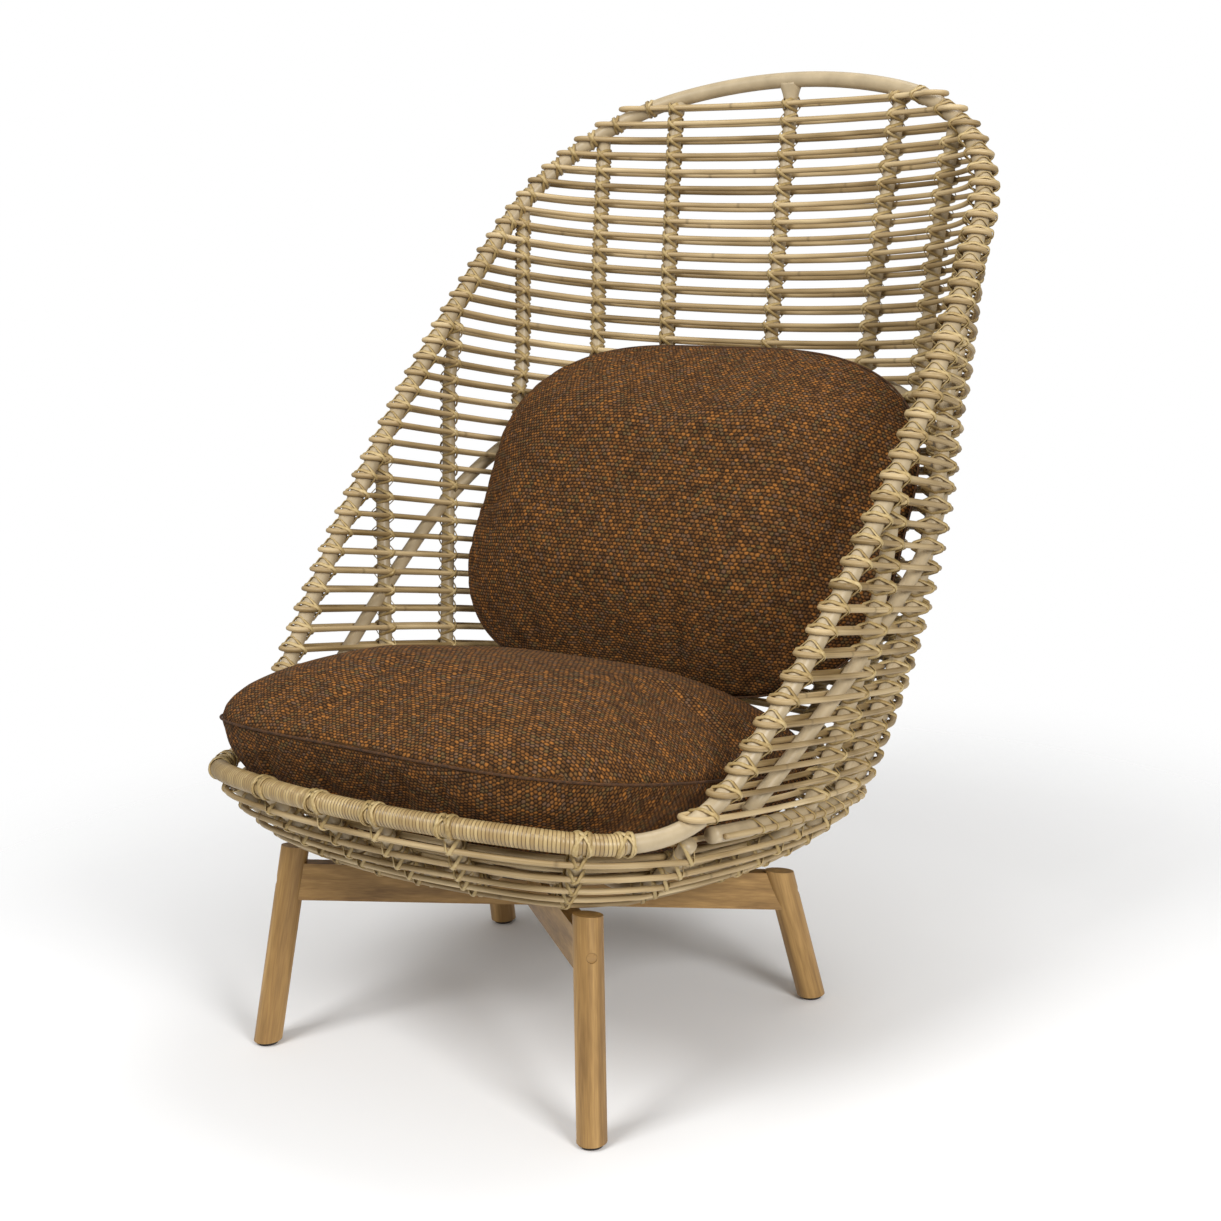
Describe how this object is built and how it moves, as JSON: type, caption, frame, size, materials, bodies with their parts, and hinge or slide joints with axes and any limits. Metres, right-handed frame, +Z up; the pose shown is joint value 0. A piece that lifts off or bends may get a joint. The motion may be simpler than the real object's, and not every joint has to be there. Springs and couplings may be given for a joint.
{
  "type": "lounge chair",
  "caption": "High-back round basket lounge chair woven in double rows of cane on a tube frame, on four splayed wooden legs, with a seat cushion and a back cushion.",
  "frame": {"origin": "on the floor under the middle of the overall box", "axes": "+Z up, +X to the sitter's left hand, the sitter looks along -Y"},
  "size_m": [0.8776, 1.0401, 1.1993],
  "materials": {
    "cane": "satin synthetic cane with a faint lengthwise grain",
    "tube": "satin painted tube",
    "binding": "satin strip",
    "teak": "oiled, open grain",
    "dowel": "oiled",
    "rubber": "matte",
    "screw": "brushed",
    "cushion": "coarse mottled weave"
  },
  "bodies": {
    "root": {"rim_hoop": "tube", "seat_ring": "tube", "support_hoop": "tube", "back_ribs": "tube", "side_ribs_left": "tube", "side_ribs_right": "tube", "bowl_ribs_back": "tube", "bowl_ribs_front": "tube", "edge_binding": "binding", "cane_back_upper": "cane", "cane_back_lower": "cane", "cane_corner_left": "cane", "cane_corner_right": "cane", "cane_side_left": "cane", "cane_side_right": "cane", "cane_loops_left": "cane", "cane_loops_right": "cane", "ring_cane": "cane", "bowl_cane_back": "cane", "bowl_cane_left": "cane", "bowl_cane_right": "cane", "bowl_cane_front": "cane", "hub_plate": "tube", "hub_spacer": "rubber", "hub_screws": "screw", "board_a": "teak", "board_b": "teak", "leg_front_left": "teak", "leg_front_right": "teak", "leg_back_left": "teak", "leg_back_right": "teak", "glides": "rubber", "dowels": "dowel", "seat_cushion": "cushion", "back_cushion": "cushion"}
  },
  "joints": []
}
